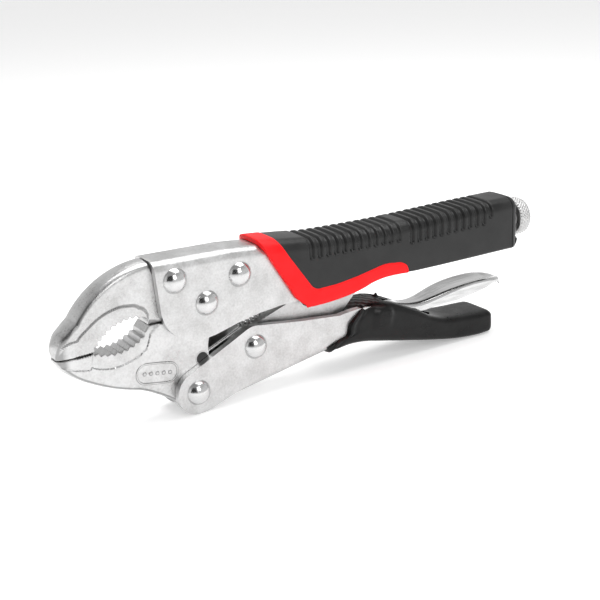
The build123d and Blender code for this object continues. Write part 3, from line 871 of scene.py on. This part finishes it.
def bent_sheet(x, top, half, deep, sheet, corner, dish):
    """A channel section carried along x. From a flange's foot up, round a quarter circle, across the top,
    which is dished by dish, and down the other flange, then home along the inside, one sheet further in."""
    x, top, half, deep, dish = (v[:, None] for v in (x, top, half, deep, dish))
    bend = np.linspace(0, math.pi / 2, 7)[None, :]
    wall = np.linspace(0, 1, 8)[None, :-1]
    flat = np.linspace(-1, 1, 17)[None, 1:-1]

    def side(lift):
        r = corner - lift
        w, h = half - lift, top - lift
        foot = top - deep
        y = np.concatenate([-w + 0 * wall, -w + r * (1 - np.cos(bend)), flat * (w - r),
                            w - r + r * np.sin(bend), w + 0 * wall], 1)
        z = np.concatenate([foot + (h - r - foot) * wall, h - r + r * np.sin(bend), h + 0 * flat * w,
                            h - r + r * np.cos(bend), h - r - (h - r - foot) * wall - (h - r - foot) / 7], 1)
        return y, z - dish * np.clip(1 - (y / half) ** 2, 0, 1)

    outer_y, outer_z = side(0.0)
    inner_y, inner_z = side(sheet)
    y = np.concatenate([outer_y, inner_y[:, ::-1]], 1)
    z = np.concatenate([outer_z, inner_z[:, ::-1]], 1)
    return np.stack([x + 0 * y, y, z], -1)


lever_x = np.concatenate([np.linspace(13.8, 20, 14)[:-1], np.linspace(20, 94, 120)[:-1],
                          np.linspace(94, 103.6, 40)])
dish = 1.5 * soft_step((lever_x - 60) / 25) * soft_step((103.6 - lever_x) / 8)
lever_rings = bent_sheet(lever_x, lever_top(lever_x), lever_half(lever_x), lever_deep(lever_x), LEVER_SHEET,
                         2.0, dish)
bright = Paint("lever_chrome", Metallic=1.0)
hair = bright.grain(0.0016, 3.0, 0.7, stretch=(0.12, 1.0, 1.0))
ripple = bright.grain(0.006, 2.0)
bright.feed("Base Color", bright.mix(bright.clip(hair, 0.4, 0.7), grey(0.66), grey(0.50)))
bright.feed("Roughness", bright.clip(hair * 0.6 + ripple * 0.4, 0.35, 0.65, 0.08, 0.2))
bright.relief(hair * 0.25 + ripple, 0.00006)
lever_shells = [tube(lever_rings), washer((30.0, 22.0), 3.46, 5.2, 5.9)]
piece("release_lever_pressing", lever_shells, bright, "lever", "lever_chrome", "release_lever")

# ---- dipped sleeve ---------------------------------------------------------------------------
# Black plastic dipped over the lower handle's rear. It drapes over the lever's rivet, hangs as a
# small horn under the hand, and is torn open along the top, where the lever comes out of it.
SLEEVE_REAR = 95.2
SLOT_HALF = 6.1


def sleeve_top(x):
    return flow(x, (0, 27.3), (19, 27.9), (24, 28.3), (34, 27.2), (40, 24.9), (46, 22.0), (52, 18.9),
                (58, 15.6), (64, 13.3), (70, 12.2), (78, 11.6), (86, 11.2), (91, 10.9), (95.2, 10.3))


def sleeve_foot(x):
    return flow(x, (0.8, 13.0), (1.6, 11.6), (3.2, 10.9), (7, 11.1), (12, 11.7), (20, 11.3), (30, 9.4),
                (45, 6.2), (60, 3.1), (76, 0.6), (88, 0.15), (92, 0.4), (95.2, 1.2))


def sleeve_half(x):
    return flow(x, (0, 10.5), (20, 10.5), (40, 10.8), (60, 10.4), (75, 10.5), (88, 10.7), (95.2, 10.3))


def sleeve_section(x, share, lift):
    """A superellipse carried along x: half width and half height times sine and cosine raised to a small
    power. share runs once round it from lip to lip, and the lips stand apart by the slot. lift moves it
    outwards. A rounded bump stands on each side where the skin drapes over the lever's rivet."""
    end = np.sqrt(np.clip(1 - np.clip((x - 90.6) / 4.62, 0, 1) ** 2, 0.0009, 1))
    middle, tall = (sleeve_top(x) + sleeve_foot(x)) / 2, (sleeve_top(x) - sleeve_foot(x)) / 2 * end + lift
    half = sleeve_half(x) * end + lift
    power = 0.36 + 0.06 * soft_step((40 - x) / 20)
    gap = SLOT_HALF * soft_step((64.0 - x) / 6.0) + 0.02
    start = np.arcsin(np.clip(gap / half, 0, 0.98) ** (1 / power))
    a = start + (math.tau - 2 * start) * share
    sine, cosine = np.sin(a), np.cos(a)
    y = -half * np.sign(sine) * np.abs(sine) ** power
    z = middle + tall * np.sign(cosine) * np.abs(cosine) ** power
    away = np.hypot(x - 30.0, z - 22.6)
    y += np.sign(y) * 1.3 * soft_step((6.2 - away) / 3.4) * (np.abs(y) > 8)
    return np.stack([x, y, z], -1)


share = np.linspace(0, 1, 140)
share = (share + 0.035 * np.sin(4 * math.tau * share) / 2)[None, :]
front_high = np.cos(math.tau * share)
front_high = np.sign(front_high) * np.abs(front_high) ** 0.42
sleeve_front = np.interp(front_high, (-1, -0.78, -0.26, 0.49, 0.95, 1), (0.9, 1.2, 5.4, 12.4, 18.0, 19.2))
slowing = 0.9 + 0.1 * np.sin(np.linspace(0, math.pi / 2, 26))
run = np.concatenate([np.linspace(0, 0.9, 150)[:-1], slowing])[:, None]
sleeve_x = sleeve_front + run * (SLEEVE_REAR - sleeve_front)
thick = -1.35 * soft_step((93.6 - sleeve_x) / 3.0)
behind = sleeve_x - sleeve_front
lip = 0.55 * np.exp(-((behind - 1.3) / 1.1) ** 2) - 0.25 * np.exp(-((behind - 3.6) / 1.0) ** 2)
film_outer = sleeve_section(sleeve_x, share, lip)
film_inner = sleeve_section(sleeve_x, share, thick)
sleeve_shell = tube(np.concatenate([film_outer, film_inner[:, ::-1]], 1))


def torn_flap(count=60):
    """Film left between the cheeks: a sheet over the lever's front that lies down onto it, its rear edge
    torn into one tongue and a curled spike. Height is a smooth curve of x; the edge's x is a curve of y."""
    y = np.linspace(-6.9, 6.9, 44)[None, :]
    edge = 32.0 + 10.5 * np.exp(-((y - 0.6) / 2.3) ** 2) + 0.9 * np.sin(2.9 * y) + 0.5 * np.sin(7.3 * y + 1)
    x = 14.8 + (edge - 14.8) * np.linspace(0, 1, count)[:, None]
    z = flow(x, (14.8, 26.0), (19.4, 27.7), (27.5, 28.3), (31.5, 27.9), (35, 26.9), (39, 25.4), (43.5, 23.7))
    spike = 1.9 * np.exp(-((x - 34.0) / 0.8) ** 2 - ((y - 0.9) / 0.9) ** 2)
    z = z + spike + 0.15 * np.sin(1.7 * x) * np.sin(1.3 * y)
    z = z - 0.35 * (y / 6.9) ** 2
    upper = np.stack([x, y + 0 * x, z], -1)
    lower = upper - (0, 0, 0.6)
    return tube(np.concatenate([upper, lower[:, ::-1]], 1))


dip = Paint("dipped_plastic", Roughness=0.3, Specular_IOR_Level=0.22)
wrinkle = dip.grain(0.005, 3.0, 0.55, stretch=(0.5, 1.0, 1.0))
fine = dip.grain(0.0008, 2.0, 0.6)
dip.feed("Base Color", dip.mix(dip.clip(wrinkle, 0.35, 0.65), grey(0.004), grey(0.009)))
dip.feed("Roughness", dip.clip(wrinkle * 0.6 + fine * 0.4, 0.35, 0.65, 0.26, 0.42))
dip.relief(wrinkle * 0.9 + fine * 0.1, 0.00018)
sleeve_shells = [sleeve_shell, torn_flap()]
piece("dipped_sleeve", sleeve_shells, dip, "lower_handle", "sleeve_black", "handle_sleeve", sharp=50.0)
